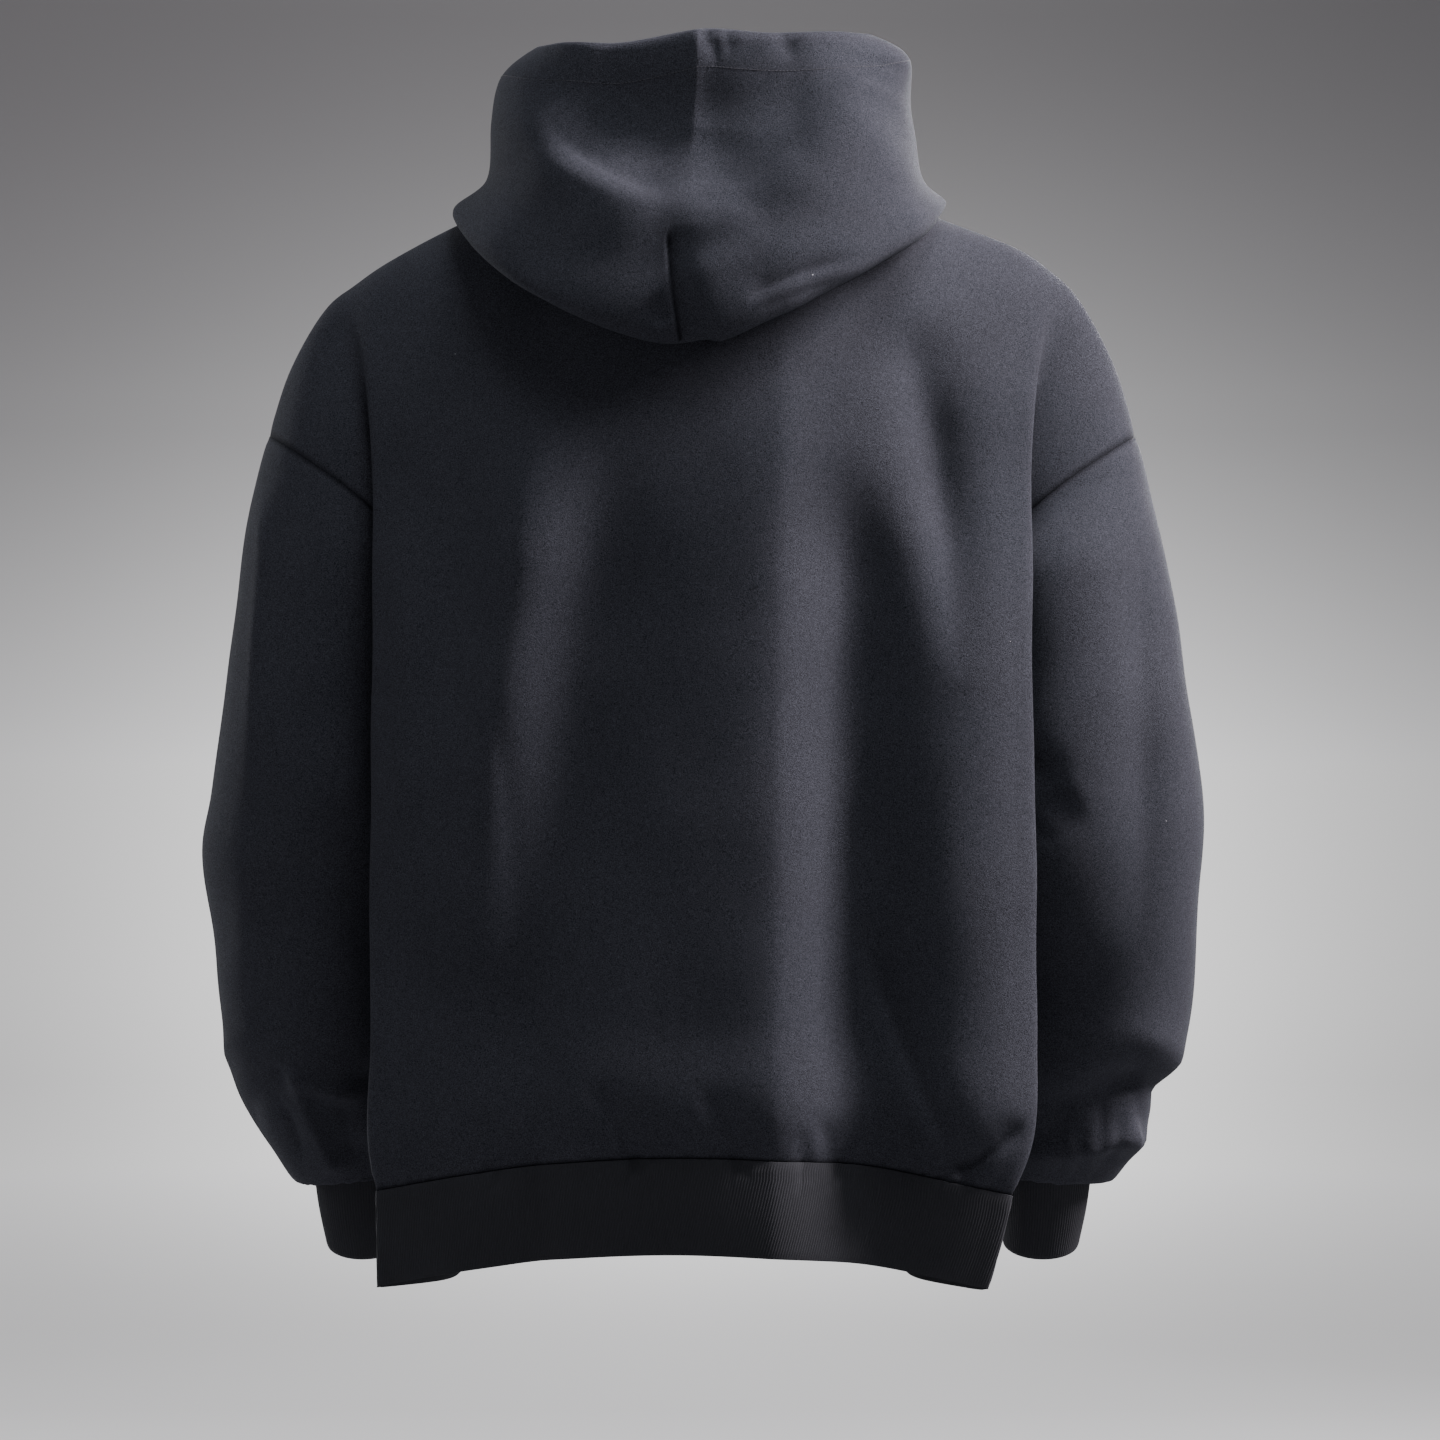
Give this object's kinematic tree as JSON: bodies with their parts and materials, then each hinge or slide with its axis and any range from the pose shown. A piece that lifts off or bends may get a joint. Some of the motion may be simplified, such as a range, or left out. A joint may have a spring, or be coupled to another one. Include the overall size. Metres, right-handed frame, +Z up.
{
  "type": "zip-up hooded sweatshirt",
  "caption": "Black oversized hooded sweatshirt in heavy brushed fleece, with dropped shoulders, ribbed cuffs and hem and a closed front zip, in the hollow form it keeps when worn.",
  "frame": {"origin": "middle of the base of the neck, level with the highest points of the shoulder seams, where the wearer's shoulders carry the garment", "axes": "+Z up, the front faces -Y, the wearer's left is +X"},
  "size_m": [0.685, 0.3009, 0.8274],
  "materials": {
    "black_fleece": "smooth brushed fleece, faint nap",
    "black_rib": "fine vertical rib knit",
    "black_tape": "woven zip tape",
    "black_teeth": "moulded teeth, satin",
    "gunmetal": "dark satin metal"
  },
  "bodies": {
    "garment": {"back": "black_fleece", "front_left": "black_fleece", "front_right": "black_fleece", "sleeve_left": "black_fleece", "sleeve_right": "black_fleece", "hood": "black_fleece", "cuff_left": "black_rib", "cuff_right": "black_rib", "hem_band": "black_rib", "zip_tape_left": "black_tape", "zip_tape_right": "black_tape", "zip_chain": "black_teeth", "zip_box": "gunmetal", "zip_slider": "gunmetal", "zip_top_stop_left": "gunmetal", "zip_top_stop_right": "gunmetal"},
    "pull_tab": {"zip_pull_tab": "gunmetal"}
  },
  "joints": [
    {"name": "pull_tab_swing", "type": "hinge", "parent": "garment", "child": "pull_tab", "pos_m": [0, -0.09852, -0.09149], "axis": [-1, 0, 0], "range_deg": [0, 150]}
  ]
}
